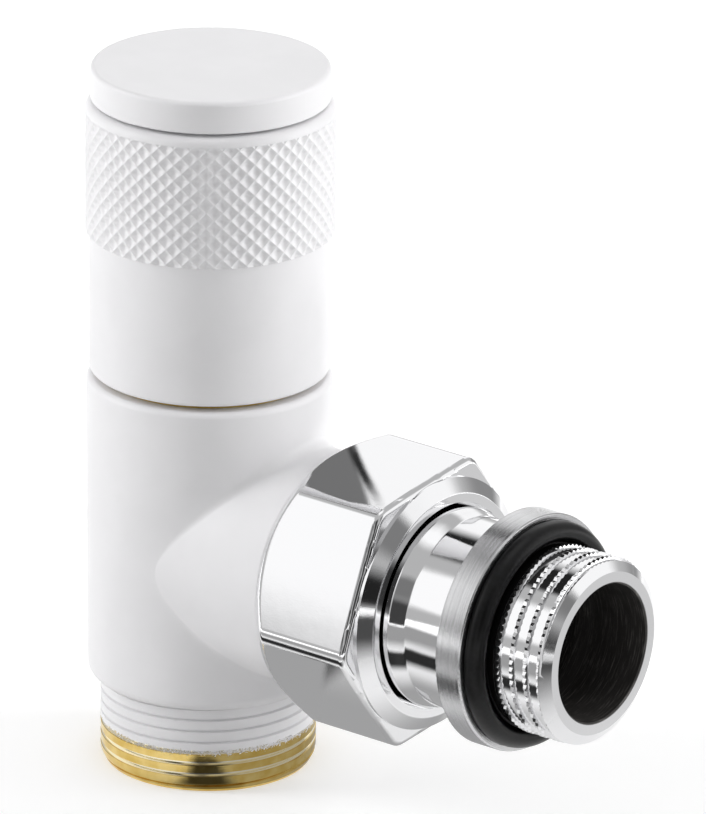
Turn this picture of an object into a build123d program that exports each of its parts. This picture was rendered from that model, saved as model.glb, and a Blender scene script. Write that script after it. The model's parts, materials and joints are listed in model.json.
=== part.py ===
import os
from math import acos, cos, hypot, pi, sin, tan

from build123d import *

# Radiator angle valve with a knurled handwheel and a union tailpiece, in millimetres.
# The origin is the centre of the inlet thread's end face. The spindle runs up +Z and
# the outlet runs along +X. The valve is drawn shut, with its plug on the seat.

# Clearances
running_fit = 0.08          # a shaft turning in its bore
fixed_fit = 0.10            # a thread or spigot that stays put
moving_gap = 0.30           # a thread or slide that travels
groove_overcut = 0.5        # groove tools reach past the surface they cut
wall_share = 0.98           # of a wall, that its roundings may take

# Valve body
inlet_thread_dia = 24.0
inlet_thread_length = 10.0
inlet_lead_depth = 0.5      # lead-in cone of the inlet thread, radially
inlet_lead_length = 1.0
socket_dia = 18.2           # where the pipe adaptor enters
socket_depth = 9.5
inlet_ledge = 1.38          # step from the inlet thread out to the body
body_overhang = 0.3         # body outside the handwheel's skirt
body_height = 35.2          # above the inlet thread
body_bottom_rounding = 1.3
body_top_rounding = 0.7
outlet_rise = 16.0          # outlet axis above the body's lower edge
arm_inset = 0.365           # the arm is this much slimmer than the body, radially
arm_reach = 17.7            # shoulder behind the union thread
arm_shoulder_rounding = 0.5
junction_rounding = 1.2     # concave blend from body to arm
union_thread_dia = 25.0
union_thread_length = 10.3  # from the arm's shoulder to its sealing face
union_undercut_depth = 0.7
union_undercut_width = 0.9
union_thread_lead = 0.6
union_pocket_dia = 20.2     # takes the tailpiece's spigot
union_pocket_depth = 4.8
outlet_bore_dia = 17.2

# Seat and chamber
passage_dia = 13.0
seat_drop = 7.0             # seat below the outlet axis
seat_dia = 16.4
seat_lip = 2.0
seat_edge_rounding = 0.4
chamber_room = 1.3          # round the plug

# Bonnet
bonnet_flange_lap = 0.2     # flange past its seal's seat
bonnet_nose_step = 0.7      # nose below the thread
bonnet_nose_gap = 0.3       # nose inside the chamber
bonnet_nose_length = 2.0
bonnet_depth = 11.7         # below the body's top face
bonnet_thread_runout = 0.5
bonnet_skirt_gap = 0.35     # flange inside the handwheel's skirt
bonnet_flange_thickness = 1.6
bonnet_hex_inset = 0.73     # hexagon corners inside the flange
bonnet_hex_height = 4.2
bonnet_hex_chamfer = 0.7
bonnet_neck_dia = 13.0
bonnet_neck_height = 3.0
bonnet_pocket_wall = 2.9    # round the plug carrier's pocket
bonnet_pocket_depth = 9.0
bonnet_seal_section = 1.4
bonnet_seal_room = 0.05

# Spindle
spindle_dia = 8.0
spindle_thread_dia = 5.5
spindle_thread_pitch = 1.5
spindle_turns = 2.5         # shut to fully open
collar_dia = 10.4
collar_thickness = 1.6
collar_room = 0.4
thrust_washer_thickness = 0.8
spindle_seal_section = 1.44
spindle_seal_groove = 1.9
spindle_seal_pitch = 3.2
spindle_seal_start = 2.4    # first seal above the thrust washer
circlip_thickness = 0.75
circlip_dia = 10.4
circlip_bite = 0.7
circlip_slot = 2.4
circlip_room = 0.05
spline_teeth = 20
spline_depth = 0.45
spline_length = 9.7
spline_start = 1.2          # above the circlip

# Plug
plug_flange_dia = 16.6
plug_flange_thickness = 2.2
plug_stem_flats = 11.0
plug_overlap = 4.5          # stem inside the bonnet when shut
plug_floor = 3.7            # closed end of the plug's threaded bore
seal_inset = 0.3            # seal inside the plug's flange
seal_thickness = 2.5
seal_washer_dia = 9.0
seal_washer_thickness = 0.9
seal_screw_dia = 4.0
seal_screw_head_dia = 7.0
seal_screw_head_height = 2.2
seal_screw_slot_width = 1.0
seal_screw_slot_depth = 1.0
seal_screw_reach = 2.6      # into the plug

# Handwheel
handle_gap = 0.6            # over the body's top face
handle_dia = 26.5
handle_skirt_length = 16.01
handle_skirt_rounding = 0.6
knurl_rise = 0.44           # grip over the skirt
knurl_length = 13.93
knurl_count = 48            # hollows round the grip
knurl_rows = 7.5            # from the lowest hollows' middles to the highest
knurl_margin = 0.34         # from the outermost middles to the grip's ends
knurl_slope = 0.42          # width of the hollows' sloping sides
knurl_floor = 0.14          # hollows' floors over the skirt
knurl_edge = 0.2            # slope below the grip
knurl_blank = 0.2           # turned oversize before the knurl is cut
shoulder_height = 1.05
shoulder_rounding = 1.0
handle_wall = 1.2
hub_dia = 13.6
hub_clearance = 1.5         # hub above the circlip
web_thickness = 3.1
handle_pocket_wall = 2.65
handle_screw_dia = 4.0
handle_screw_hole_dia = 4.4
handle_screw_length = 11.2
handle_screw_head_dia = 7.0
handle_screw_head_height = 2.6
handle_screw_key = 2.5
handle_screw_key_depth = 1.5
handle_washer_dia = 9.2
handle_washer_thickness = 0.8
spindle_screw_hole_spare = 0.6

# Top cap
cap_inset = 0.12            # disc inside the skirt's line
cap_thickness = 3.6
cap_gap = 0.35              # shadow groove under the cap
cap_top_rounding = 0.5
cap_bottom_rounding = 0.2
cap_spigot_play = 0.3
cap_spigot_wall = 1.6
cap_seal_section = 1.1
cap_seal_groove_depth = 0.9
cap_seal_groove_width = 1.4
cap_seal_drop = 3.2         # below the handwheel's top

# Union nut
nut_wall = 1.7              # from the threaded bore to the flats
nut_crown = 0.2             # the flats bulge at their middle
nut_rear_gap = 0.5          # behind the nut, to the arm's shoulder
nut_boss_height = 1.3
nut_turn = 7.0              # degrees, first corner from +Y towards +Z
nut_edge_rounding = 2.2     # between the flats
nut_front_rounding = 0.7
nut_rear_rounding = 1.0     # where the rear cone meets the flats
nut_rear_inset = 0.4        # rear face inside the flats
nut_boss_inset = 0.35       # boss inside the flats
nut_mouth_width = 1.0       # from the hole to the boss's cone
nut_boss_step = 0.25
nut_mouth_rounding = 0.35
nut_lip_thickness = 1.9
nut_lip_depth = 1.2         # lip inside the threaded bore

# Tailpiece
tail_collar_thickness = 3.4
collar_side_gap = 0.35      # the collar inside the nut
throat_gap = 0.35           # the neck inside the nut's hole
throat_length = 0.9         # past the nut's front
neck_blend = 1.8
neck_length = 8.92          # from the nut to the flange ring
neck_step = 0.2225          # neck over the thread's crests
tail_thread_dia = 20.955
tail_thread_gap = 2.07      # from the flange ring to the first thread
tail_reach = 9.28           # from the flange ring to the end
tail_relief = 0.1775        # shank under the ring, below the crests
tail_lead_depth = 1.4075
tail_lead_length = 0.86
tail_bore_dia = 15.44
tail_bore_lead = 0.2
tail_key_width = 13.0       # hexagon for the fitting key
tail_key_length = 9.4
spigot_gap = 0.5
spigot_end_room = 0.4
spigot_lead = 0.5
union_seal_section = 1.5
union_seal_groove = 2.1
union_seal_place = 2.2      # back from the sealing face

# Flange ring and its seal
flange_dia = 26.5
flange_width = 3.31
flange_edge = 0.2
flange_recess_depth = 0.8
flange_rim = 0.6
flange_bore_play = 0.05
tail_seal_length = 2.8      # along the outlet
tail_seal_play = 0.03

# Heights and reaches worked out from the sizes above
body_top = inlet_thread_length + body_height
body_bottom_dia = inlet_thread_dia + 2 * inlet_ledge
outlet_height = inlet_thread_length + outlet_rise
body_top_dia = handle_dia + 2 * body_overhang
arm_dia = (body_bottom_dia + body_top_dia) / 2 - 2 * arm_inset
union_thread_end = arm_reach + union_thread_length
seat_height = outlet_height - seat_drop
chamber_floor = seat_height - seat_lip
bonnet_bottom = body_top - bonnet_depth
bonnet_bore_start = bonnet_bottom + bonnet_nose_length - bonnet_thread_runout
bonnet_flange_dia = handle_dia - 2 * handle_wall - 2 * bonnet_skirt_gap
bonnet_hex_width = (bonnet_flange_dia - 2 * bonnet_hex_inset) * cos(pi / 6)
bonnet_seal_depth = bonnet_seal_section + 2 * bonnet_seal_room
bonnet_seal_seat_dia = bonnet_flange_dia - 2 * bonnet_flange_lap
bonnet_seal_dia = bonnet_seal_seat_dia - bonnet_seal_depth
bonnet_thread_dia = bonnet_seal_dia - bonnet_seal_depth
bonnet_nose_dia = bonnet_thread_dia - 2 * bonnet_nose_step
chamber_dia = max(plug_flange_dia + 2 * chamber_room, bonnet_nose_dia + 2 * bonnet_nose_gap)
bonnet_hex_start = body_top + bonnet_flange_thickness
bonnet_neck_start = bonnet_hex_start + bonnet_hex_height
bonnet_top = bonnet_neck_start + bonnet_neck_height
bonnet_pocket_dia = bonnet_thread_dia - 2 * bonnet_pocket_wall
plug_stem_dia = bonnet_pocket_dia - 2 * moving_gap
bonnet_pocket_top = bonnet_bottom + bonnet_pocket_depth
collar_start = bonnet_pocket_top + running_fit
collar_top = collar_start + collar_thickness
thrust_top = collar_top + thrust_washer_thickness
lift = spindle_thread_pitch * spindle_turns
plug_bottom = seat_height + seal_thickness
plug_top = bonnet_bottom + plug_overlap
seal_dia = plug_flange_dia - 2 * seal_inset
plug_bore_floor = plug_bottom + plug_floor
spindle_bottom = plug_bore_floor + lift + moving_gap
circlip_start = bonnet_top + circlip_room
circlip_top = circlip_start + circlip_thickness
spline_bottom = circlip_top + spline_start
spindle_top = spline_bottom + spline_length
handle_bottom = body_top + handle_gap
knurl_dia = handle_dia + 2 * knurl_rise
handle_pocket_dia = handle_dia - 2 * handle_pocket_wall
knurl_start = handle_bottom + handle_skirt_length
knurl_end = knurl_start + knurl_length
handle_top = knurl_end + shoulder_height
hub_bottom = circlip_top + hub_clearance
web_bottom = spindle_top + fixed_fit
web_top = web_bottom + web_thickness
handle_screw_seat = web_top + handle_washer_thickness
cap_dia = handle_dia - 2 * cap_inset
cap_bottom = handle_top + cap_gap
cap_top = cap_bottom + cap_thickness
cap_seal_height = handle_top - cap_seal_drop
nut_start = arm_reach + nut_rear_gap
nut_shoulder = union_thread_end + tail_collar_thickness
nut_front = nut_shoulder + nut_lip_thickness
nut_hex_end = nut_front - nut_boss_height
nut_bore_dia = union_thread_dia + 2 * moving_gap
nut_hole_dia = nut_bore_dia - 2 * nut_lip_depth
nut_width = nut_bore_dia + 2 * nut_wall
nut_rear_dia = nut_width - 2 * nut_rear_inset
nut_boss_dia = nut_width - 2 * nut_boss_inset
nut_mouth_dia = nut_hole_dia + 2 * nut_mouth_width
tail_collar_dia = nut_bore_dia - 2 * collar_side_gap
throat_dia = nut_hole_dia - 2 * throat_gap
spigot_dia = union_pocket_dia - 2 * spigot_gap
spigot_start = union_thread_end - union_pocket_depth + spigot_end_room
neck_dia = tail_thread_dia + 2 * neck_step
tail_shank_dia = tail_thread_dia - 2 * tail_relief
tail_face_dia = tail_thread_dia - 2 * tail_lead_depth
tail_key_end = spigot_start + tail_key_length
tail_flange_start = nut_front + neck_length
flange_end = tail_flange_start + flange_width
tail_thread_start = flange_end + tail_thread_gap
tail_end = flange_end + tail_reach
flange_bore_dia = tail_thread_dia + 2 * flange_bore_play


def wall_limit(points, roundings, i):
    """Length that a rounding may take from the two walls at corner i."""
    limits = []
    for j in (i - 1, (i + 1) % len(points)):
        wall = (points[j] - points[i]).length
        limits.append(wall * (wall_share / 2 if roundings[j] else wall_share))
    return min(limits)


def outline(corners):
    """Closed outline through corners (radius, place) or (radius, place, rounding)."""
    points = [Vector(c[0], 0, c[1]) for c in corners]
    roundings = [c[2] if len(c) > 2 else 0 for c in corners]
    stops = []
    for i, corner in enumerate(points):
        back = (points[i - 1] - corner).normalized()
        ahead = (points[(i + 1) % len(points)] - corner).normalized()
        if not roundings[i]:
            stops.append((corner, None, corner))
            continue
        half = acos(max(-1, min(1, back.dot(ahead)))) / 2
        rounding = min(roundings[i], wall_limit(points, roundings, i) * tan(half))
        reach = rounding / tan(half)
        centre = corner + (back + ahead).normalized() * (rounding / sin(half))
        middle = centre + (corner - centre).normalized() * rounding
        stops.append((corner + back * reach, middle, corner + ahead * reach))
    edges = []
    for i, (start, middle, end) in enumerate(stops):
        if middle:
            edges.append(ThreePointArc(start, middle, end))
        following = stops[(i + 1) % len(stops)][0]
        if (following - end).length > 1e-6:
            edges.append(Line(end, following))
    return make_face(edges)


def upright(corners):
    """Solid turned about the spindle axis from (radius, height) corners."""
    return revolve(outline(corners), Axis.Z)


def along_outlet(shape):
    """Lay a solid made on the Z axis along the outlet axis."""
    return Pos(0, 0, outlet_height) * Rot(0, 90, 0) * shape


def sideways(corners):
    """Solid turned about the outlet axis from (radius, reach) corners."""
    return along_outlet(upright(corners))


def tube(outer, inner, bottom, top):
    """Plain ring or washer from two diameters and two heights."""
    return upright([(inner / 2, bottom), (outer / 2, bottom), (outer / 2, top), (inner / 2, top)])


def rod(dia, bottom, top):
    """Plain cylinder from a diameter and two heights."""
    return upright([(0, bottom), (dia / 2, bottom), (dia / 2, top), (0, top)])


def o_ring(centre_dia, section, height):
    """Rubber ring of round section."""
    return Pos(0, 0, height) * Torus(centre_dia / 2, section / 2)


def hexagon(width, bottom, top):
    """Hexagonal bar across flats, its first corner at +X."""
    return Pos(0, 0, bottom) * extrude(RegularPolygon(width / 2, 6, major_radius=False), top - bottom)


def crowned_hexagon(width, crown, rounding, turn, bottom, top):
    """Hexagonal bar with slightly bulging flats, its first corner at the given turn from +X."""
    flat = width / 2
    corner = (flat - crown) / cos(pi / 6)
    corners = [Vector(corner, 0).rotate(Axis.Z, turn + 60 * i) for i in range(6)]
    middles = [Vector(flat, 0).rotate(Axis.Z, turn + 30 + 60 * i) for i in range(6)]
    section = make_face([ThreePointArc(corners[i - 1], middles[i - 1], corners[i]) for i in range(6)])
    section = fillet(section.vertices(), rounding)
    return Pos(0, 0, bottom) * extrude(section, top - bottom)


def spline(dia, bottom, top):
    """Toothed bar, its crests on the given diameter."""
    points = []
    for i in range(2 * spline_teeth):
        radius = dia / 2 - spline_depth * (i % 2)
        angle = pi * i / spline_teeth
        points.append((radius * cos(angle), radius * sin(angle)))
    return Pos(0, 0, bottom) * extrude(make_face(Polyline(*points, close=True)), top - bottom)


def make_valve_body():
    """Forged body with its inlet thread, seat, chamber and outlet arm."""
    inlet = inlet_thread_dia / 2
    shell = upright([
        (0, 0), (inlet - inlet_lead_depth, 0), (inlet, inlet_lead_length),
        (inlet, inlet_thread_length),
        (body_bottom_dia / 2, inlet_thread_length, body_bottom_rounding),
        (body_top_dia / 2, body_top, body_top_rounding), (0, body_top)])
    arm = sideways([
        (0, 0), (arm_dia / 2, 0), (arm_dia / 2, arm_reach, arm_shoulder_rounding), (0, arm_reach)])
    outside = shell + arm
    outside = fillet(new_edges(shell, arm, combined=outside), junction_rounding)
    thread = union_thread_dia / 2
    undercut = thread - union_undercut_depth
    undercut_end = arm_reach + union_undercut_width
    outside += sideways([
        (0, arm_reach - union_undercut_width), (undercut, arm_reach - union_undercut_width),
        (undercut, undercut_end), (thread, undercut_end),
        (thread, union_thread_end - union_thread_lead),
        (thread - union_thread_lead, union_thread_end), (0, union_thread_end)])
    bonnet_bore = bonnet_thread_dia / 2 + fixed_fit
    waterway = upright([
        (0, 0), (socket_dia / 2, 0), (socket_dia / 2, socket_depth), (passage_dia / 2, socket_depth),
        (passage_dia / 2, seat_height, seat_edge_rounding), (seat_dia / 2, seat_height, seat_edge_rounding),
        (seat_dia / 2, chamber_floor), (chamber_dia / 2, chamber_floor),
        (chamber_dia / 2, bonnet_bore_start), (bonnet_bore, bonnet_bore_start),
        (bonnet_bore, body_top - bonnet_seal_depth),
        (bonnet_seal_seat_dia / 2, body_top - bonnet_seal_depth),
        (bonnet_seal_seat_dia / 2, body_top), (0, body_top)])
    pocket_start = union_thread_end - union_pocket_depth
    outlet = sideways([
        (0, seat_dia / 2 + fixed_fit), (outlet_bore_dia / 2, seat_dia / 2 + fixed_fit),
        (outlet_bore_dia / 2, pocket_start), (union_pocket_dia / 2, pocket_start),
        (union_pocket_dia / 2, union_thread_end), (0, union_thread_end)])
    return outside - waterway - outlet


def make_bonnet():
    """Headwork screwed into the body: flange, spanner hexagon and spindle bore."""
    thread = bonnet_thread_dia / 2
    nose_top = bonnet_bottom + bonnet_nose_length
    outside = upright([
        (0, bonnet_bottom), (bonnet_nose_dia / 2, bonnet_bottom), (bonnet_nose_dia / 2, nose_top),
        (thread, nose_top), (thread, body_top), (bonnet_flange_dia / 2, body_top),
        (bonnet_flange_dia / 2, bonnet_hex_start), (0, bonnet_hex_start)])
    corner = bonnet_hex_width / 2 / cos(pi / 6)
    turned_hex = upright([
        (0, bonnet_hex_start), (corner, bonnet_hex_start), (corner, bonnet_neck_start - bonnet_hex_chamfer),
        (corner - 2 * bonnet_hex_chamfer, bonnet_neck_start), (0, bonnet_neck_start)])
    outside += turned_hex & hexagon(bonnet_hex_width, bonnet_hex_start, bonnet_neck_start)
    outside += rod(bonnet_neck_dia, bonnet_neck_start, bonnet_top)
    pocket = rod(bonnet_pocket_dia, bonnet_bottom, bonnet_pocket_top)
    flats = plug_stem_flats + 2 * moving_gap
    pocket &= Pos(0, 0, bonnet_bottom) * Box(
        bonnet_pocket_dia, flats, bonnet_pocket_depth, align=(Align.CENTER, Align.CENTER, Align.MIN))
    outside -= pocket
    outside -= rod(collar_dia + 2 * collar_room, bonnet_pocket_top, thrust_top)
    return outside - rod(spindle_dia + 2 * running_fit, thrust_top, bonnet_top)


def spindle_seal_height(index):
    """Height of a spindle seal's middle."""
    return thrust_top + spindle_seal_start + index * spindle_seal_pitch


def make_spindle():
    """Turned spindle: plug thread, thrust collar, seal grooves and spline."""
    solid = rod(spindle_thread_dia, spindle_bottom, collar_start)
    solid += rod(collar_dia, collar_start, collar_top)
    solid += rod(spindle_dia, collar_top, spline_bottom)
    solid += spline(spindle_dia, spline_bottom, spindle_top)
    groove_floor = spindle_dia - 2 * spindle_seal_section
    for index in range(2):
        middle = spindle_seal_height(index)
        solid -= tube(spindle_dia + 2 * groove_overcut, groove_floor,
                      middle - spindle_seal_groove / 2, middle + spindle_seal_groove / 2)
    solid -= tube(spindle_dia + 2 * groove_overcut, spindle_dia - 2 * circlip_bite, circlip_start, circlip_top)
    screw_bottom = handle_screw_seat - handle_screw_length - spindle_screw_hole_spare
    return solid - rod(handle_screw_dia + 2 * fixed_fit, screw_bottom, spindle_top)


def make_circlip():
    """Open retaining ring in the spindle's groove."""
    inner = spindle_dia - 2 * circlip_bite + 2 * fixed_fit
    ring = tube(circlip_dia, inner, circlip_start, circlip_top)
    slot = Pos(0, -circlip_dia / 2, circlip_start) * Box(
        circlip_slot, circlip_dia, circlip_thickness, align=(Align.CENTER, Align.CENTER, Align.MIN))
    return ring - slot


def make_plug():
    """Plug carrier that slides in the bonnet and carries the seal."""
    flange_top = plug_bottom + plug_flange_thickness
    stem = rod(plug_stem_dia, flange_top, plug_top)
    stem &= Pos(0, 0, flange_top) * Box(
        plug_stem_dia, plug_stem_flats, plug_top - flange_top, align=(Align.CENTER, Align.CENTER, Align.MIN))
    solid = rod(plug_flange_dia, plug_bottom, flange_top) + stem
    solid -= rod(spindle_thread_dia + 2 * moving_gap, plug_bore_floor, plug_top)
    return solid - rod(seal_screw_dia + 2 * fixed_fit, plug_bottom, plug_bottom + seal_screw_reach + fixed_fit)


def make_seal_screw():
    """Slotted screw that holds the seal and its washer on the plug."""
    head_top = seat_height - seal_washer_thickness
    head_bottom = head_top - seal_screw_head_height
    solid = rod(seal_screw_head_dia, head_bottom, head_top)
    solid += rod(seal_screw_dia, head_top, plug_bottom + seal_screw_reach)
    slot = Pos(0, 0, head_bottom) * Box(
        seal_screw_head_dia, seal_screw_slot_width, seal_screw_slot_depth,
        align=(Align.CENTER, Align.CENTER, Align.MIN))
    return solid - slot


def knurl_point(radius, step, height):
    """Point of the knurl's lattice, which has two steps to each hollow."""
    angle = pi * step / knurl_count
    return Vector(radius * cos(angle), radius * sin(angle), height)


def triangle(a, b, c):
    """Flat three-cornered face."""
    return Face(Wire.make_polygon([a, b, c], close=True))


def make_knurl_cutter():
    """Ring that leaves staggered rows of four-sided hollows between raised ridges."""
    tip = knurl_dia / 2
    root = handle_dia / 2 + knurl_floor
    half = (knurl_length - 2 * knurl_margin) / knurl_rows / 2
    side = pi * tip / knurl_count
    share = 1 - knurl_slope * hypot(side, half) / (side * half)
    last = round(2 * knurl_rows) + 2
    bottom = knurl_start + knurl_margin - half
    corners = ((-1, 0), (0, -1), (1, 0), (0, 1))
    faces = []
    rims = []
    for row in range(last + 1):
        height = bottom + row * half
        loop = []
        for i in range(knurl_count):
            step = 2 * i + 1 - row % 2
            ridge = [knurl_point(tip, step + turn, height + rise * half) for turn, rise in corners]
            floor = [knurl_point(root, step + turn * share, height + rise * share * half)
                     for turn, rise in corners]
            left, below, right, above = floor
            loop += [ridge[0], left, right]
            slopes = []
            if row > 0:
                slopes += [0, 1]
            if row < last:
                slopes += [2, 3]
            for j in slopes:
                k = (j + 1) % 4
                faces.append(triangle(ridge[j], ridge[k], floor[k]))
                faces.append(triangle(ridge[j], floor[k], floor[j]))
            if row > 0:
                faces.append(triangle(left, below, right))
            if row < last:
                faces.append(triangle(left, right, above))
        if row in (0, last):
            rims.append(Edge.make_circle(tip + 2 * knurl_blank, Plane((0, 0, height))))
            faces.append(Face(Wire([rims[-1]]), [Wire.make_polygon(loop, close=True)]))
    faces.append(Face.extrude(rims[0], (0, 0, last * half)))
    return Solid(Shell(faces)) & rod(knurl_dia + 6 * knurl_blank, knurl_start, knurl_end)


def make_handwheel():
    """Handwheel: thin skirt, knurled grip, splined hub and a pocket for the cap."""
    skirt = handle_dia / 2
    grip = knurl_dia / 2
    blank = grip + knurl_blank
    slope_end = knurl_start + knurl_edge * (blank - skirt) / knurl_rise
    solid = upright([
        (0, handle_bottom), (skirt, handle_bottom, handle_skirt_rounding), (skirt, knurl_start),
        (blank, slope_end), (blank, knurl_end), (grip, knurl_end),
        (grip, handle_top, shoulder_rounding), (0, handle_top)])
    solid -= make_knurl_cutter()
    cavity = handle_dia / 2 - handle_wall
    solid -= upright([
        (0, handle_bottom), (cavity, handle_bottom), (cavity, web_bottom), (hub_dia / 2, web_bottom),
        (hub_dia / 2, hub_bottom), (0, hub_bottom)])
    solid -= spline(spindle_dia + 2 * fixed_fit, hub_bottom, web_bottom)
    solid -= rod(handle_screw_hole_dia, web_bottom, web_top)
    return solid - rod(handle_pocket_dia, web_top, handle_top)


def make_handle_screw():
    """Socket screw from the handwheel's pocket into the spindle."""
    head_top = handle_screw_seat + handle_screw_head_height
    solid = rod(handle_screw_dia, handle_screw_seat - handle_screw_length, handle_screw_seat)
    solid += rod(handle_screw_head_dia, handle_screw_seat, head_top)
    return solid - hexagon(handle_screw_key, head_top - handle_screw_key_depth, head_top)


def make_top_cap():
    """Disc on a hollow spigot that stands in the handwheel's pocket."""
    disc = cap_dia / 2
    spigot = handle_pocket_dia / 2 - cap_spigot_play
    solid = upright([
        (spigot - cap_spigot_wall, web_top), (spigot, web_top), (spigot, cap_bottom),
        (disc, cap_bottom, cap_bottom_rounding), (disc, cap_top, cap_top_rounding),
        (0, cap_top), (0, cap_bottom), (spigot - cap_spigot_wall, cap_bottom)])
    return solid - tube(2 * (spigot + groove_overcut), 2 * (spigot - cap_seal_groove_depth),
                        cap_seal_height - cap_seal_groove_width / 2,
                        cap_seal_height + cap_seal_groove_width / 2)


def make_union_nut():
    """Hexagon union nut with softened edges: turned ends, threaded bore and an inner lip."""
    bar = crowned_hexagon(
        nut_width, nut_crown, nut_edge_rounding, 90 + nut_turn, nut_start, nut_hex_end)
    rear = nut_rear_dia / 2
    reach = nut_width
    bar &= upright([
        (0, nut_start), (rear, nut_start), (reach, nut_start + reach - rear),
        (reach, nut_hex_end + reach), (0, nut_hex_end + reach)])
    front = bar.edges().filter_by_position(Axis.Z, nut_hex_end, nut_hex_end)
    bar = fillet(front, nut_front_rounding)
    crossing = bar.edges().filter_by_position(
        Axis.Z, nut_start, (nut_start + nut_hex_end) / 2, inclusive=(False, False))
    bar = fillet(crossing.filter_by(GeomType.LINE, reverse=True), nut_rear_rounding)
    boss_root = nut_hex_end - nut_front_rounding
    boss = upright([
        (0, boss_root), (nut_boss_dia / 2, boss_root), (nut_boss_dia / 2, nut_hex_end + nut_boss_step),
        (nut_mouth_dia / 2, nut_front, nut_mouth_rounding), (0, nut_front)])
    solid = bar + boss
    solid -= rod(nut_bore_dia, nut_start, nut_shoulder)
    return along_outlet(solid - rod(nut_hole_dia, nut_shoulder, nut_front))


def make_tailpiece():
    """Tailpiece: sealed spigot, collar, waisted neck and radiator thread."""
    collar_end = nut_shoulder
    throat_end = nut_front + throat_length
    neck_start = throat_end + neck_blend
    collar = tail_collar_dia / 2
    neck = neck_dia / 2
    shank = tail_shank_dia / 2
    thread = tail_thread_dia / 2
    spigot = spigot_dia / 2
    solid = upright([
        (0, spigot_start), (spigot - spigot_lead, spigot_start), (spigot, spigot_start + spigot_lead),
        (spigot, union_thread_end), (collar, union_thread_end), (collar, collar_end),
        (throat_dia / 2, collar_end), (throat_dia / 2, throat_end, neck_blend / 2),
        (neck, neck_start, neck_blend / 2), (neck, tail_flange_start), (shank, tail_flange_start),
        (shank, tail_thread_start), (thread, tail_thread_start),
        (thread, tail_end - tail_lead_length), (tail_face_dia / 2, tail_end), (0, tail_end)])
    middle = union_thread_end - union_seal_place
    solid -= tube(spigot_dia + 2 * groove_overcut, spigot_dia - 2 * union_seal_section + spigot_gap,
                  middle - union_seal_groove / 2, middle + union_seal_groove / 2)
    bore = tail_bore_dia / 2
    solid -= upright([
        (0, tail_key_end), (bore, tail_key_end), (bore, tail_end - tail_bore_lead),
        (bore + tail_bore_lead, tail_end), (0, tail_end)])
    return along_outlet(solid - hexagon(tail_key_width, spigot_start, tail_key_end))


def make_flange_ring():
    """Ring on the tailpiece's shoulder with a shallow recess for the seal."""
    outer = flange_dia / 2
    bore = flange_bore_dia / 2
    recess = outer - flange_rim
    floor = flange_end - flange_recess_depth
    return sideways([
        (bore, tail_flange_start), (outer, tail_flange_start, flange_edge), (outer, flange_end, flange_edge),
        (recess, flange_end), (recess, floor), (bore, floor)])


def make_tail_seal():
    """Rubber ring squeezed between the thread and the flange ring's rim."""
    inner = tail_shank_dia / 2 + tail_seal_play
    outer = flange_dia / 2 - flange_rim - tail_seal_play
    middle = flange_end - flange_recess_depth + tail_seal_length / 2
    section = Plane.XZ * Pos((inner + outer) / 2, middle) * Ellipse((outer - inner) / 2, tail_seal_length / 2)
    return along_outlet(revolve(section, Axis.Z))


seal_washer_bore = seal_screw_dia + 2 * fixed_fit
spindle_seal_dia = spindle_dia - spindle_seal_section + running_fit / 2
cap_spigot_dia = handle_pocket_dia - 2 * cap_spigot_play
cap_seal_dia = cap_spigot_dia - 2 * cap_seal_groove_depth + cap_seal_section + running_fit
union_seal_dia = spigot_dia - union_seal_section + spigot_gap

pieces = {
    "valve_body": make_valve_body(),
    "bonnet": make_bonnet(),
    "bonnet_o_ring": o_ring(bonnet_seal_dia, bonnet_seal_section, body_top - bonnet_seal_depth / 2),
    "thrust_washer": tube(collar_dia, spindle_dia + 2 * moving_gap, collar_top, thrust_top),
    "spindle": make_spindle(),
    "spindle_o_ring_lower": o_ring(spindle_seal_dia, spindle_seal_section, spindle_seal_height(0)),
    "spindle_o_ring_upper": o_ring(spindle_seal_dia, spindle_seal_section, spindle_seal_height(1)),
    "spindle_circlip": make_circlip(),
    "plug": make_plug(),
    "plug_seal": tube(seal_dia, seal_washer_bore, seat_height, plug_bottom),
    "seal_washer": tube(seal_washer_dia, seal_washer_bore, seat_height - seal_washer_thickness, seat_height),
    "seal_screw": make_seal_screw(),
    "handwheel": make_handwheel(),
    "handwheel_washer": tube(handle_washer_dia, handle_screw_hole_dia, web_top, handle_screw_seat),
    "handwheel_screw": make_handle_screw(),
    "top_cap": make_top_cap(),
    "cap_o_ring": o_ring(cap_seal_dia, cap_seal_section, cap_seal_height),
    "union_nut": make_union_nut(),
    "tailpiece": make_tailpiece(),
    "union_o_ring": along_outlet(
        o_ring(union_seal_dia, union_seal_section, union_thread_end - union_seal_place)),
    "flange_ring": make_flange_ring(),
    "tail_o_ring": make_tail_seal(),
}

os.makedirs("parts", exist_ok=True)
for name, solid in pieces.items():
    export_step(solid, f"parts/{name}.step")
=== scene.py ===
import json
import math

import bpy
from mathutils import Matrix, Vector


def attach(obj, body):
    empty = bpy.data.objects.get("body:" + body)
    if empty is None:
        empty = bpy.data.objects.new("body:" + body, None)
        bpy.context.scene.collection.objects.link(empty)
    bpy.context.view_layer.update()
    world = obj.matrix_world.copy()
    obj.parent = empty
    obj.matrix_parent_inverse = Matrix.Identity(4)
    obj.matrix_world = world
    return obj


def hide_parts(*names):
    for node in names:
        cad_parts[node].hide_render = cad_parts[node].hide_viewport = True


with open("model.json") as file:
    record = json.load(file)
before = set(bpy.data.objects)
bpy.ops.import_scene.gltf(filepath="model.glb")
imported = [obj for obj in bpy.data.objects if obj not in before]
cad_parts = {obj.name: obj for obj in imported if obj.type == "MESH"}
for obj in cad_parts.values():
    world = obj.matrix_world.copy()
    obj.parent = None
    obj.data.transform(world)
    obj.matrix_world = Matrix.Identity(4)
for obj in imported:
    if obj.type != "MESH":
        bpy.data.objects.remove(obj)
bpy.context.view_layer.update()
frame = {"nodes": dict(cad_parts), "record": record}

nodes = frame["nodes"]
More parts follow.
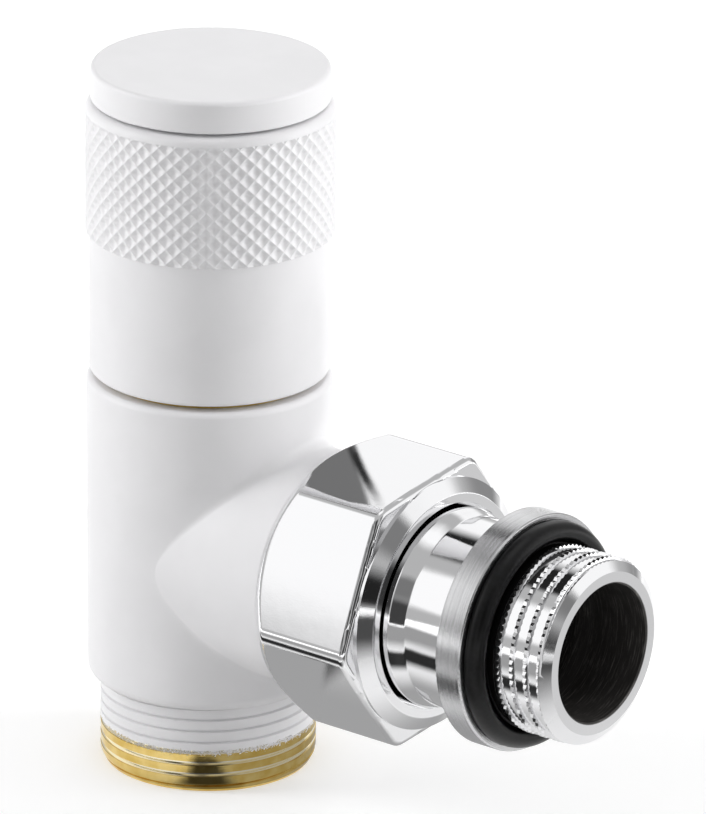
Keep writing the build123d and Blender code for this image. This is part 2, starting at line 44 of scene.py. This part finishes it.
scene = bpy.context.scene
mm = 0.001
outletUp = 26.0  # the union's axis runs along X at this height, in millimetres
mergeGap = 0.0004 * mm  # points closer than this are one point
print("frame loaded:", len(nodes), "nodes")


# wires between shader nodes, so that shader maths reads as plain maths
class Wire:
    def __init__(self, tree, socket):
        self.tree, self.socket = tree, socket

    def node(self, kind, settings, sockets, out=0):
        made = self.tree.nodes.new(kind)
        for key, value in settings.items():
            setattr(made, key, value)
        for key, value in sockets.items():
            if isinstance(value, Wire):
                self.tree.links.new(value.socket, made.inputs[key])
            else:
                made.inputs[key].default_value = value
        return Wire(self.tree, made.outputs[out])

    def maths(self, operation, first, second):
        return self.node("ShaderNodeMath", {"operation": operation}, {0: first, 1: second})

    def __add__(self, other):
        return self.maths("ADD", self, other)

    def __radd__(self, other):
        return self.maths("ADD", other, self)

    def __sub__(self, other):
        return self.maths("SUBTRACT", self, other)

    def __rsub__(self, other):
        return self.maths("SUBTRACT", other, self)

    def __mul__(self, other):
        return self.maths("MULTIPLY", self, other)

    def __rmul__(self, other):
        return self.maths("MULTIPLY", other, self)

    def __pow__(self, other):
        return self.maths("POWER", self, other)

    def lesser(self, other):
        return self.maths("MINIMUM", self, other)

    def greater(self, other):
        return self.maths("MAXIMUM", self, other)

    def step(self, low, high):  # 0 below low, 1 above high, smooth between
        return self.node("ShaderNodeMapRange", {"interpolation_type": "SMOOTHSTEP"},
                         {"Value": self, "From Min": low, "From Max": high})

    def noise(self, scale, detail=2.0, rough=0.5, stretch=(1, 1, 1)):
        spread = self.node("ShaderNodeMapping", {}, {"Vector": self, "Scale": stretch})
        return self.node("ShaderNodeTexNoise", {}, {"Vector": spread, "Scale": scale,
                                                   "Detail": detail, "Roughness": rough})

    def part(self, axis):
        return self.node("ShaderNodeSeparateXYZ", {}, {"Vector": self}, out=axis)

    def joined(self, *parts):
        return self.node("ShaderNodeCombineXYZ", {}, dict(enumerate(parts)))

    def mixed(self, first, second):  # self is the factor between two colours
        settings = {"data_type": "RGBA", "clamp_factor": True}
        return self.node("ShaderNodeMix", settings, {0: self, 6: first, 7: second}, out=2)

    def bump(self, strength, distance):
        return self.node("ShaderNodeBump", {},
                         {"Height": self, "Strength": strength, "Distance": distance})


def fromAxis(first, second):  # distance from an axis, by the two coordinates across it
    return (first ** 2 + second ** 2) ** 0.5


def fromOutlet(place):
    return fromAxis(place.part(1), place.part(2) - outletUp)


def startFinish(name, **constants):
    finish = bpy.data.materials.new(name)
    finish.use_nodes = True
    tree = finish.node_tree
    shader = tree.nodes["Principled BSDF"]
    for key, value in constants.items():
        shader.inputs[key.replace("_", " ")].default_value = value
    metres = Wire(tree, tree.nodes.new("ShaderNodeTexCoord").outputs["Object"])
    place = metres.node("ShaderNodeVectorMath", {"operation": "SCALE"},
                        {0: metres, "Scale": 1 / mm})  # patterns are in millimetres
    return finish, shader, place


def feed(shader, **wires):
    for key, wire in wires.items():
        wire.tree.links.new(wire.socket, shader.inputs[key.replace("_", " ")])


# white coat: a faint cloud of tone, orange peel and grain
coatLook = {
    "colour": (0.884, 0.879, 0.893, 1), "shaded": (0.860, 0.855, 0.869, 1),
    "cloudScale": 0.12, "cloudRange": (0.35, 0.65),
    "peelScale": 0.9, "peelRough": 0.55, "peelDepth": 0.006,
    "grainScale": 9.0, "grainHeight": 0.06,
    "rough": 0.33, "roughByCloud": 0.06, "roughByGrain": 0.04, "bump": 0.5,
}


def coatSurface(place):
    cloud = place.noise(coatLook["cloudScale"], 3)
    peel = place.noise(coatLook["peelScale"], 3, coatLook["peelRough"])
    grain = place.noise(coatLook["grainScale"])
    colour = cloud.step(*coatLook["cloudRange"]).mixed(coatLook["shaded"], coatLook["colour"])
    rough = (coatLook["rough"] + cloud * coatLook["roughByCloud"]
             + grain * coatLook["roughByGrain"])
    return colour, rough, peel + grain * coatLook["grainHeight"]


def makeWhiteCoat():
    finish, shader, place = startFinish("whiteCoat")
    colour, rough, height = coatSurface(place)
    feed(shader, Base_Color=colour, Roughness=rough,
         Normal=height.bump(coatLook["bump"], coatLook["peelDepth"] * mm))
    return finish


# turned brass with a little tarnish
brassLook = {
    "light": (0.83, 0.64, 0.25, 1), "deep": (0.70, 0.48, 0.12, 1),
    "tarnishScale": 0.5, "tarnishRange": (0.3, 0.7),
    "turnedScale": 3.0, "turnedStretch": (0.15, 0.15, 3.0), "turnedDepth": 0.02,
    "rough": 0.05, "roughByTarnish": 0.06, "roughByTurning": 0.05, "bump": 0.3,
}


def brassSurface(place):
    tarnish = place.noise(brassLook["tarnishScale"], 4)
    turned = place.noise(brassLook["turnedScale"], stretch=brassLook["turnedStretch"])
    colour = tarnish.step(*brassLook["tarnishRange"]).mixed(brassLook["deep"], brassLook["light"])
    rough = (brassLook["rough"] + tarnish * brassLook["roughByTarnish"]
             + turned * brassLook["roughByTurning"])
    return colour, rough, turned


def makeBrass():
    finish, shader, place = startFinish("brassTurned", Metallic=1.0)
    colour, rough, turned = brassSurface(place)
    feed(shader, Base_Color=colour, Roughness=rough,
         Normal=turned.bump(brassLook["bump"], brassLook["turnedDepth"] * mm))
    return finish


# body: the coat ends raggedly over the inlet's thread; the bores and the union's thread are bare;
# the bare thread's grooves carry a painted highlight
bodyLook = {
    "edge": (4.53, 4.77), "raggedScale": 1.1, "ragged": 1.1, "speckleScale": 5.0, "speckle": 1.9,
    # groove is the painted highlight colour for the bare thread's grooves
    "groove": (0.98, 0.93, 0.78, 1), "grooveRoot": (10.9, 11.0),
    "grooveCrest": (11.84, 11.97), "grooveLow": (0.9, 1.0),
    "inletWall": (9.3, 9.45), "inletTop": (11.0, 11.2),
    "outletWall": (10.4, 10.6), "outletFrom": (17.0, 17.4), "unionFrom": (18.45, 18.55),
    "peelHeight": 0.006, "coatHeight": 0.05, "turnedHeight": 0.008, "bump": 0.6,
}


def makeCoatedBody():
    finish, shader, place = startFinish("whiteCoatOverBrass")
    coat, coatRough, coatHeight = coatSurface(place)
    brass, brassRough, turned = brassSurface(place)
    along, height = place.part(0), place.part(2)
    upright = fromAxis(along, place.part(1))
    ragged = (place.noise(bodyLook["raggedScale"], 5, 0.7) - 0.5) * bodyLook["ragged"]
    speckle = (place.noise(bodyLook["speckleScale"], 3, 0.6) - 0.5) * bodyLook["speckle"]
    above = (height + (ragged + speckle)).step(*bodyLook["edge"])
    # painted highlight: the bare thread's grooves are painted paler, as if lit
    grooveHighlight = upright.step(*bodyLook["grooveRoot"]) * height.step(*bodyLook["grooveLow"])
    grooveHighlight = grooveHighlight * (1 - upright.step(*bodyLook["grooveCrest"]))
    brass = grooveHighlight.mixed(brass, bodyLook["groove"])
    outsideInlet = upright.step(*bodyLook["inletWall"]) + height.step(*bodyLook["inletTop"])
    outsideOutlet = (fromOutlet(place).step(*bodyLook["outletWall"])
                     + (1 - along.step(*bodyLook["outletFrom"])))
    behindUnion = 1 - along.step(*bodyLook["unionFrom"])
    coated = above.lesser(outsideInlet).lesser(outsideOutlet).lesser(behindUnion)
    relief = (coatHeight * coated * bodyLook["peelHeight"] + coated * bodyLook["coatHeight"]
              + turned * bodyLook["turnedHeight"])
    feed(shader, Base_Color=coated.mixed(brass, coat),
         Roughness=coated * coatRough + (1 - coated) * brassRough,
         Metallic=1 - coated, Normal=relief.bump(bodyLook["bump"], mm))
    return finish


# chrome: finely speckled, with a dark bore scratched round and round, and painted shade under a
# ring, near black and rough
chromeLook = {
    # shade is the painted shade colour under a ring
    "colour": (0.80, 0.80, 0.81, 1), "shade": (0.02, 0.02, 0.02, 1),
    "bore": (0.05, 0.047, 0.045, 1), "scratch": (0.22, 0.21, 0.20, 1),
    "speckleScale": 6.0, "speckleRough": 0.65, "speckleDepth": 0.003,
    "waveScale": 0.35, "waveHeight": 4.0, "bump": 0.6,
    "scratchAlong": 8.0, "scratchRound": 3.0, "scratchRange": (0.5, 0.75), "scratchHeight": 9.0,
    "rough": 0.03, "roughBySpeckle": 0.05, "roughBore": 0.26, "roughByScratch": 0.2,
    "roughShade": 0.5, "boreDull": 0.6, "boreSoft": 0.12, "shadeSoft": 0.1,
}
nutChrome = {"boreRadius": 0.0, "ringFrom": 90, "ringTo": 91}  # these reach no part of the nut
tailChrome = {"boreRadius": 7.85, "ringFrom": 45.5, "ringTo": 47.8}


def makeChrome(name, limits):
    finish, shader, place = startFinish(name)
    speckle = place.noise(chromeLook["speckleScale"], 4, chromeLook["speckleRough"])
    wave = place.noise(chromeLook["waveScale"])
    along, aside = place.part(0), fromOutlet(place)
    inBore = 1 - aside.step(limits["boreRadius"], limits["boreRadius"] + chromeLook["boreSoft"])
    # painted shade: near black and rough where the tail's shank sits under the satin ring and the
    # rubber ring
    shadeUnderRing = along.step(limits["ringFrom"], limits["ringFrom"] + chromeLook["shadeSoft"]) * (
        1 - along.step(limits["ringTo"] - chromeLook["shadeSoft"], limits["ringTo"]))
    angle = place.maths("ARCTAN2", place.part(1), place.part(2) - outletUp)
    wound = place.joined(along * chromeLook["scratchAlong"],
                         angle * chromeLook["scratchRound"], aside)
    scratched = wound.noise(1.0, 4, 0.6)
    rough = (chromeLook["rough"] + speckle * chromeLook["roughBySpeckle"]
             + inBore * (chromeLook["roughBore"] + scratched * chromeLook["roughByScratch"]))
    height = (speckle * (1 - inBore) + wave * chromeLook["waveHeight"]
              + scratched * inBore * chromeLook["scratchHeight"])
    worn = scratched.step(*chromeLook["scratchRange"]).mixed(
        chromeLook["bore"], chromeLook["scratch"])
    plateWithShade = shadeUnderRing.mixed(chromeLook["colour"], chromeLook["shade"])
    feed(shader, Base_Color=inBore.mixed(plateWithShade, worn),
         Roughness=rough + shadeUnderRing * chromeLook["roughShade"],
         Metallic=1 - inBore * chromeLook["boreDull"],
         Normal=height.bump(chromeLook["bump"], chromeLook["speckleDepth"] * mm))
    return finish


# satin ring: fine lines that run round it
satinLook = {
    "colour": (0.70, 0.70, 0.71, 1), "dull": (0.52, 0.52, 0.53, 1),
    "lineScale": 6.0, "lineRough": 0.75, "lineRange": (0.35, 0.65), "lineDepth": 0.04,
    "cloudScale": 0.6, "rough": 0.13, "roughByLines": 0.14, "bump": 0.8,
}


def makeSatin():
    finish, shader, place = startFinish("satinRing", Metallic=1.0)
    ring = place.joined(place.part(0), fromOutlet(place), 0.0)
    lines = ring.noise(satinLook["lineScale"], 5, satinLook["lineRough"])
    cloud = place.noise(satinLook["cloudScale"], 3)
    tone = cloud * 0.5 + lines.step(*satinLook["lineRange"]) * 0.5
    feed(shader, Base_Color=tone.mixed(satinLook["dull"], satinLook["colour"]),
         Roughness=satinLook["rough"] + lines * satinLook["roughByLines"],
         Normal=lines.bump(satinLook["bump"], satinLook["lineDepth"] * mm))
    return finish


rubberLook = {
    "colour": (0.003, 0.003, 0.003, 1), "dusty": (0.006, 0.006, 0.007, 1), "specular": 0.25,
    "dustScale": 2.2, "dustRange": (0.35, 0.75), "poreScale": 11.0, "poreDepth": 0.01,
    "rough": 0.26, "roughByDust": 0.1, "bump": 0.1,
}


def makeRubber():
    finish, shader, place = startFinish("blackRubber", Specular_IOR_Level=rubberLook["specular"])
    dust = place.noise(rubberLook["dustScale"], 4)
    pores = place.noise(rubberLook["poreScale"])
    colour = dust.step(*rubberLook["dustRange"]).mixed(rubberLook["colour"], rubberLook["dusty"])
    feed(shader, Base_Color=colour,
         Roughness=rubberLook["rough"] + dust * rubberLook["roughByDust"],
         Normal=pores.bump(rubberLook["bump"], rubberLook["poreDepth"] * mm))
    return finish


# inner metals and washers: one soft cloud for tone, roughness and bump
steelLook = {
    "metallic": 1.0, "dark": (0.52, 0.52, 0.53, 1), "light": (0.64, 0.64, 0.63, 1),
    "scale": 1.4, "detail": 4, "rough": 0.22, "roughByCloud": 0.16, "bump": 0.3, "depth": 0.01,
}
washerLook = {
    "metallic": 0.0, "dark": (0.78, 0.78, 0.75, 1), "light": (0.86, 0.86, 0.84, 1),
    "scale": 1.0, "detail": 3, "rough": 0.42, "roughByCloud": 0.1, "bump": 0.2, "depth": 0.01,
}


def makeClouded(name, look):
    finish, shader, place = startFinish(name, Metallic=look["metallic"])
    cloud = place.noise(look["scale"], look["detail"])
    feed(shader, Base_Color=cloud.mixed(look["dark"], look["light"]),
         Roughness=look["rough"] + cloud * look["roughByCloud"],
         Normal=cloud.bump(look["bump"], look["depth"] * mm))
    return finish


finishes = {
    "white_coat": makeWhiteCoat(), "chrome": makeChrome("chromePlate", nutChrome),
    "satin_chrome": makeSatin(), "brass": makeBrass(),
    "steel": makeClouded("steelPlated", steelLook), "rubber": makeRubber(),
    "ptfe": makeClouded("washerPlastic", washerLook),
}
coatedBodyFinish = makeCoatedBody()
chromeTailFinish = makeChrome("chromePlateTail", tailChrome)


def dress(piece, finish):
    piece.data.materials.clear()
    piece.data.materials.append(finish)


for part in frame["record"]["subparts"]:
    dress(nodes[part["node"]], finishes[part["material_slot"]])
print("finishes made:", len(finishes) + 2)


# modelling helpers
def pickOnly(piece):
    bpy.ops.object.select_all(action="DESELECT")
    piece.select_set(True)
    bpy.context.view_layer.objects.active = piece


def selectVerts(piece, wanted):
    bpy.ops.mesh.select_mode(type="VERT")
    bpy.ops.mesh.select_all(action="DESELECT")
    bpy.ops.object.mode_set(mode="OBJECT")
    for vertex in piece.data.vertices:
        vertex.select = wanted(vertex.co)
    bpy.ops.object.mode_set(mode="EDIT")


def copyNode(nodeName, pieceName):
    piece = bpy.data.objects.new(pieceName, nodes[nodeName].data.copy())
    scene.collection.objects.link(piece)
    pickOnly(piece)
    bpy.ops.mesh.customdata_custom_splitnormals_clear()
    bpy.ops.object.mode_set(mode="EDIT")
    bpy.ops.mesh.select_all(action="SELECT")
    bpy.ops.mesh.remove_doubles(threshold=mergeGap)
    bpy.ops.object.mode_set(mode="OBJECT")
    return piece


def carve(piece, cutter):
    pickOnly(piece)
    cut = piece.modifiers.new("cut", "BOOLEAN")
    cut.operation, cut.solver, cut.object = "DIFFERENCE", "EXACT", cutter
    bpy.ops.object.modifier_apply(modifier=cut.name)
    bpy.data.objects.remove(cutter)


def shadeOver(piece, degrees):  # edges past this angle stay sharp
    pickOnly(piece)
    bpy.ops.object.shade_smooth_by_angle(angle=math.radians(degrees))


def evenNormals(piece):
    even = piece.modifiers.new("even", "WEIGHTED_NORMAL")
    even.keep_sharp = True
    bpy.ops.object.modifier_apply(modifier=even.name)


def seat(piece, body, nodeName, finish):
    dress(piece, finish)
    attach(piece, body)
    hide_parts(nodeName)
    print(piece.name, "made:", len(piece.data.polygons), "faces")


# a thread groove: a four-sided section, turned and lifted along an axis
def makeCoil(groove):
    bpy.ops.object.select_all(action="DESELECT")
    bpy.ops.mesh.primitive_plane_add(size=2.0, rotation=(math.pi / 2, 0, 0))
    coil = bpy.context.object
    bpy.ops.object.transform_apply(location=False, rotation=True, scale=False)
    bpy.ops.object.mode_set(mode="EDIT")
    bpy.ops.mesh.select_all(action="SELECT")
    outer = groove["crest"] + groove["overcut"]
    half = (outer - groove["root"]) / 2
    bpy.ops.transform.resize(value=(half * mm, 1, groove["rootWidth"] / 2 * mm),
                             center_override=(0, 0, 0))
    selectVerts(coil, lambda co: co.x > 0)
    bpy.ops.transform.resize(value=(1, 1, groove["mouth"] / groove["rootWidth"]),
                             center_override=(0, 0, 0))
    bpy.ops.mesh.select_all(action="SELECT")
    bpy.ops.transform.translate(value=((groove["root"] + half) * mm, 0, groove["start"] * mm))
    bpy.ops.mesh.delete(type="ONLY_FACE")
    bpy.ops.object.mode_set(mode="OBJECT")
    turn = coil.modifiers.new("turn", "SCREW")
    turn.axis, turn.angle = "Z", 2 * math.pi
    turn.screw_offset, turn.iterations = groove["pitch"] * mm, groove["turns"]
    turn.steps = turn.render_steps = groove["steps"]
    bpy.ops.object.modifier_apply(modifier=turn.name)
    bpy.ops.object.mode_set(mode="EDIT")
    bpy.ops.mesh.select_all(action="SELECT")
    bpy.ops.mesh.remove_doubles(threshold=mergeGap)
    bpy.ops.mesh.fill_holes(sides=0)
    bpy.ops.mesh.select_all(action="SELECT")
    bpy.ops.mesh.normals_make_consistent(inside=False)
    bpy.ops.object.mode_set(mode="OBJECT")
    return coil


# valve body: a bare thread low down, the same groove filled with coat above it
inletThread = {
    "bare": {"crest": 12.0, "root": 11.55, "overcut": 0.5, "rootWidth": 0.1, "mouth": 1.0,
             "start": -1.75, "pitch": 1.337, "turns": 5, "steps": 96},
    "filled": {"crest": 12.0, "root": 11.62, "overcut": 0.5, "rootWidth": 0.14, "mouth": 0.62,
               "start": 4.78, "pitch": 1.337, "turns": 4, "steps": 96},
}
bodySharp = 32
bodyPiece = copyNode("valve_body", "bodyCoated")
for groove in inletThread.values():
    carve(bodyPiece, makeCoil(groove))
shadeOver(bodyPiece, bodySharp)
evenNormals(bodyPiece)
seat(bodyPiece, "valve", "valve_body", coatedBodyFinish)

# tailpiece: radiator thread whose crests are notched all round
tailThread = {"crest": 10.4775, "root": 10.12, "overcut": 0.3, "rootWidth": 1.28, "mouth": 1.6,
              "start": 46.204, "pitch": 1.814, "turns": 5, "steps": 96}
tailNotch = {"count": 84, "root": 10.27, "crest": 10.49, "outer": 11.2,
             "start": 47.58, "length": 6.4}
tailSharp = 28


def ontoOutlet(piece):  # from standing on Z to lying along the outlet
    pickOnly(piece)
    piece.rotation_euler = (0, math.pi / 2, 0)
    piece.location = (0, 0, outletUp * mm)
    bpy.ops.object.transform_apply(location=True, rotation=True, scale=False)
    return piece


def makeNotchRing(notch):
    bpy.ops.object.select_all(action="DESELECT")
    bpy.ops.mesh.primitive_circle_add(vertices=2 * notch["count"], radius=notch["root"] * mm,
                                      location=(0, 0, notch["start"] * mm))
    ring = bpy.context.object
    bpy.ops.object.transform_apply(location=True, rotation=False, scale=False)
    for edge in ring.data.edges:
        edge.select = False
    for vertex in ring.data.vertices:
        vertex.select = vertex.index % 2 == 0
    bpy.ops.object.mode_set(mode="EDIT")
    bpy.ops.mesh.select_mode(type="VERT")
    grow = notch["crest"] / notch["root"]
    centre = (0, 0, notch["start"] * mm)
    bpy.ops.transform.resize(value=(grow, grow, 1), center_override=centre)
    bpy.ops.mesh.select_all(action="SELECT")
    wide = notch["outer"] / notch["root"]
    bpy.ops.mesh.extrude_region_move()
    bpy.ops.transform.resize(value=(wide, wide, 1), center_override=centre)
    bpy.ops.mesh.select_all(action="SELECT")
    bpy.ops.mesh.extrude_region_move(
        TRANSFORM_OT_translate={"value": (0, 0, notch["length"] * mm)})
    bpy.ops.mesh.select_all(action="SELECT")
    bpy.ops.mesh.normals_make_consistent(inside=False)
    bpy.ops.object.mode_set(mode="OBJECT")
    return ring


tailPiece = copyNode("tailpiece", "tailThreaded")
carve(tailPiece, ontoOutlet(makeNotchRing(tailNotch)))
carve(tailPiece, ontoOutlet(makeCoil(tailThread)))
shadeOver(tailPiece, tailSharp)
evenNormals(tailPiece)
seat(tailPiece, "tail", "tailpiece", chromeTailFinish)

# handwheel: the knurl's hollows are rounded out, then all of it is softened as a coat softens it
gripKnurl = {"low": 62.05, "high": 75.7, "inner": 13.3, "ridge": 13.67, "outer": 14.0, "cuts": 3,
             "hollow": 0.5, "hollowTimes": 7, "soften": 0.3, "softenTimes": 1, "sharp": 35}
gripPiece = copyNode("handwheel", "gripKnurled")


def selectKnurl(outer):
    selectVerts(gripPiece, lambda co: gripKnurl["low"] * mm < co.z < gripKnurl["high"] * mm
                and gripKnurl["inner"] * mm < math.hypot(co.x, co.y) < outer * mm)


pickOnly(gripPiece)
bpy.ops.object.mode_set(mode="EDIT")
selectKnurl(gripKnurl["outer"])
bpy.ops.mesh.subdivide(number_cuts=gripKnurl["cuts"])
selectKnurl(gripKnurl["ridge"])
bpy.ops.mesh.vertices_smooth(factor=gripKnurl["hollow"], repeat=gripKnurl["hollowTimes"])
selectKnurl(gripKnurl["outer"])
bpy.ops.mesh.vertices_smooth(factor=gripKnurl["soften"], repeat=gripKnurl["softenTimes"])
bpy.ops.object.mode_set(mode="OBJECT")
shadeOver(gripPiece, gripKnurl["sharp"])
seat(gripPiece, "handle", "handwheel", finishes["white_coat"])


# studio: pale floor, side and top softboxes, and cards
photoCamera = {
    "place": (0.63757, -0.77517, 0.41885), "right": (0.78221, 0.62301, 0.0),
    "up": (-0.21946, 0.27554, 0.93591), "back": (0.58308, -0.73208, 0.35226),
    "roll": 0.5616, "focalPixels": 9747, "frameHeight": 814, "sensor": 36.0, "clip": (0.01, 20),
}
floorLook = {"size": 8.0, "drop": 0.05, "colour": 0.74, "lift": 0.40, "near": 160, "far": 420}
softboxes = {
    "left": {"aim": (-0.78, -0.62, 0.22), "far": 0.75, "wide": 0.25, "high": 1.0, "watts": 4.5},
    "right": {"aim": (0.78, 0.62, 0.16), "far": 0.75, "wide": 0.25, "high": 0.9, "watts": 5.9},
    "top": {"aim": (0.05, 0.12, 1.0), "far": 0.9, "wide": 0.7, "high": 0.7, "watts": 0.7},
}
worldLight = {"plain": 0.49, "glossy": 0.55}
# soft-edged cards that only reflections show, in millimetres: by direction, or near ones by
# place. They are painted reflections: the glowing ones stand in for the softboxes, which
# reflections don't see, and the dark and grey ones are painted shade
cards = {
    "leftGlow": {"aim": (-0.78, -0.62, 0.55), "far": 700, "wide": 760, "high": 530,
                 "shade": 1.2, "soft": 0.17},
    "rightGlow": {"aim": (0.78, 0.62, 0.16), "far": 700, "wide": 760, "high": 900,
                  "shade": 1.15, "soft": 0.25},
    "topGlow": {"aim": (0.05, 0.12, 1.0), "far": 900, "wide": 760, "high": 760,
                "shade": 1.2, "soft": 0.3},
    "backGlow": {"aim": (-0.50, 0.75, 0.45), "far": 600, "wide": 460, "high": 460,
                 "shade": 1.15, "soft": 0.25},
    "camera": {"aim": (0.583, -0.732, 0.352), "far": 500, "wide": 420, "high": 600,
               "shade": 0.05, "soft": 0.3},
    "ceiling": {"aim": (-0.60, 0.15, 0.79), "far": 400, "wide": 290, "high": 300,
                "shade": 0.02, "soft": 0.2},
    # the cards on the floor and the near upright ones are painted shade in reflections: the floor
    # around and under the object, and the shaded sides of the body and handwheel
    "front": {"place": (0, -34, 0.2), "wide": 140, "high": 26, "shade": 0.03, "soft": 0.3},
    "under": {"place": (20, 2, 0.25), "wide": 56, "high": 46, "shade": 0.42, "soft": 0.3},
    "right": {"place": (190, 70, 0.2), "wide": 280, "high": 300, "shade": 0.72, "soft": 0.16},
    "inlet": {"place": (10.6, -13.3, 0.3), "turn": 38.5, "wide": 11, "high": 16,
              "shade": 0.05, "soft": 0.3},
    "screen": {"place": (13.6, -2, 7), "aim": (1, 0, 0), "wide": 34, "high": 14,
               "shade": 0.42, "soft": 0.12},
    "nut": {"place": (13.8, 7.6, 49), "aim": (1, 0, 0), "turn": -10, "wide": 2.4, "high": 18,
            "shade": 0.03, "soft": 0.4},
    "nutSide": {"place": (13.6, 2.8, 49), "aim": (1, 0, 0), "wide": 10.4, "high": 18,
                "shade": 0.2, "soft": 0.12},
    "frontFar": {"place": (5, -120, 0.15), "wide": 190, "high": 160, "shade": 0.4, "soft": 0.2},
    "asideLow": {"place": (135, -45, 0.25), "wide": 170, "high": 80, "shade": 0.08, "soft": 0.3},
    "aside": {"aim": (0.94, -0.26, 0.02), "far": 300, "wide": 170, "high": 150,
              "shade": 0.02, "soft": 0.35},
    "beyond": {"aim": (0.92, 0.08, 0.39), "far": 320, "wide": 150, "high": 190,
               "shade": 0.24, "soft": 0.3},
    "behind": {"aim": (0.05, 1, 0.08), "far": 240, "wide": 220, "high": 150,
               "shade": 0.3, "soft": 0.3},
    "aheadHigh": {"aim": (0.0, -0.85, 0.5), "far": 300, "wide": 150, "high": 170,
                  "shade": 0.22, "soft": 0.3},
    "ahead": {"aim": (-0.03, -0.98, 0.04), "far": 260, "wide": 120, "high": 210,
              "shade": 0.06, "soft": 0.3},
}
lieFlat = (0, 0, 1)  # a card with a place and no aim lies on the floor
middle = Vector((0.02, 0.0, 0.036))  # what the lamps and the far cards face


def startBare(name):
    finish = bpy.data.materials.new(name)
    finish.use_nodes = True
    finish.node_tree.nodes.remove(finish.node_tree.nodes["Principled BSDF"])
    return finish, finish.node_tree


def surfaceFrom(tree, wire):
    tree.links.new(wire.socket, tree.nodes["Material Output"].inputs["Surface"])


def makeFloor():
    bpy.ops.object.select_all(action="DESELECT")
    bpy.ops.mesh.primitive_plane_add(size=floorLook["size"],
                                     location=(0, 0, -floorLook["drop"] * mm))
    floor = bpy.context.object
    floor.name = "paleFloor"
    bpy.ops.object.transform_apply(location=True, rotation=False, scale=False)
    finish, tree = startBare("paleFloor")
    path = tree.nodes.new("ShaderNodeLightPath").outputs
    seen = Wire(tree, path["Is Camera Ray"]).greater(Wire(tree, path["Is Glossy Ray"]))
    seen = seen.greater(Wire(tree, path["Is Transmission Ray"]))
    place = Wire(tree, tree.nodes.new("ShaderNodeTexCoord").outputs["Object"])
    away = fromAxis(place.part(0), place.part(1))
    away = away.step(floorLook["near"] * mm, floorLook["far"] * mm)
    lift = seen * (floorLook["lift"] + away * (1 - floorLook["lift"]))
    pale = (floorLook["colour"],) * 3 + (1,)
    matt = place.node("ShaderNodeBsdfDiffuse", {}, {"Color": pale})
    glow = place.node("ShaderNodeEmission", {}, {"Color": (1, 1, 1, 1), "Strength": lift})
    surfaceFrom(tree, place.node("ShaderNodeAddShader", {}, {0: matt, 1: glow}))
    dress(floor, finish)


def turnTo(aim):
    return Vector(aim).to_track_quat("Z", "Y").to_matrix().to_4x4()


def makeSoftbox(name, box):
    lamp = bpy.data.lights.new(name, "AREA")
    lamp.shape, lamp.energy = "RECTANGLE", box["watts"]
    lamp.size, lamp.size_y = box["wide"], box["high"]
    holder = bpy.data.objects.new(name, lamp)
    scene.collection.objects.link(holder)
    place = middle + Vector(box["aim"]).normalized() * box["far"]
    holder.matrix_world = Matrix.Translation(place) @ turnTo(box["aim"])
    holder.visible_camera = holder.visible_glossy = False


def makeCard(name, card):
    bpy.ops.object.select_all(action="DESELECT")
    bpy.ops.mesh.primitive_plane_add(size=1.0)
    sheet = bpy.context.object
    sheet.name = name
    aim = Vector(card.get("aim", lieFlat)).normalized()
    place = Vector(card["place"]) * mm if "place" in card else middle + aim * card["far"] * mm
    facing = turnTo(aim) @ Matrix.Rotation(math.radians(card.get("turn", 0)), 4, "Z")
    size = Matrix.Diagonal((card["wide"] * mm, card["high"] * mm, 1, 1))
    sheet.matrix_world = Matrix.Translation(place) @ facing @ size
    bpy.ops.object.transform_apply(location=True, rotation=True, scale=True)
    for ray in ("camera", "diffuse", "transmission", "volume_scatter", "shadow"):
        setattr(sheet, "visible_" + ray, False)
    finish, tree = startBare(name)
    across = Wire(tree, tree.nodes.new("ShaderNodeTexCoord").outputs["UV"])
    solid = 1
    for axis in (0, 1):
        edge = across.part(axis)
        solid = solid * edge.lesser(1 - edge).step(0, card["soft"])
    clear = across.node("ShaderNodeBsdfTransparent", {}, {})
    glow = across.node("ShaderNodeEmission", {}, {"Color": (card["shade"],) * 3 + (1,)})
    surfaceFrom(tree, across.node("ShaderNodeMixShader", {}, {0: solid, 1: clear, 2: glow}))
    dress(sheet, finish)


def makeWorld():
    world = bpy.data.worlds.new("studioWorld")
    scene.world = world
    world.use_nodes = True
    tree = world.node_tree
    path = tree.nodes.new("ShaderNodeLightPath").outputs
    seen = Wire(tree, path["Is Camera Ray"]).greater(Wire(tree, path["Is Transmission Ray"]))
    plain, glossy = worldLight["plain"], worldLight["glossy"]
    strength = plain + seen * (1 - plain) + Wire(tree, path["Is Glossy Ray"]) * (glossy - plain)
    backdrop = tree.nodes["Background"]
    backdrop.inputs["Color"].default_value = (1, 1, 1, 1)
    tree.links.new(strength.socket, backdrop.inputs["Strength"])


def makeCamera(photo):
    lens = bpy.data.cameras.new("photoCamera")
    lens.sensor_width = photo["sensor"]
    lens.lens = photo["focalPixels"] * photo["sensor"] / photo["frameHeight"]
    lens.clip_start, lens.clip_end = photo["clip"]
    holder = bpy.data.objects.new("photoCamera", lens)
    scene.collection.objects.link(holder)
    right, up, back = (Vector(photo[key]) for key in ("right", "up", "back"))
    roll = math.radians(photo["roll"])
    rolledRight = math.cos(roll) * right + math.sin(roll) * up
    rolledUp = math.cos(roll) * up - math.sin(roll) * right
    turned = Matrix((rolledRight, rolledUp, back)).transposed()
    holder.matrix_world = Matrix.Translation(photo["place"]) @ turned.to_4x4()
    scene.camera = holder


makeFloor()
makeWorld()
for name, box in softboxes.items():
    makeSoftbox(name + "Softbox", box)
for name, card in cards.items():
    makeCard(name + "Card", card)
makeCamera(photoCamera)
scene.view_settings.view_transform = "Standard"
print("studio set")
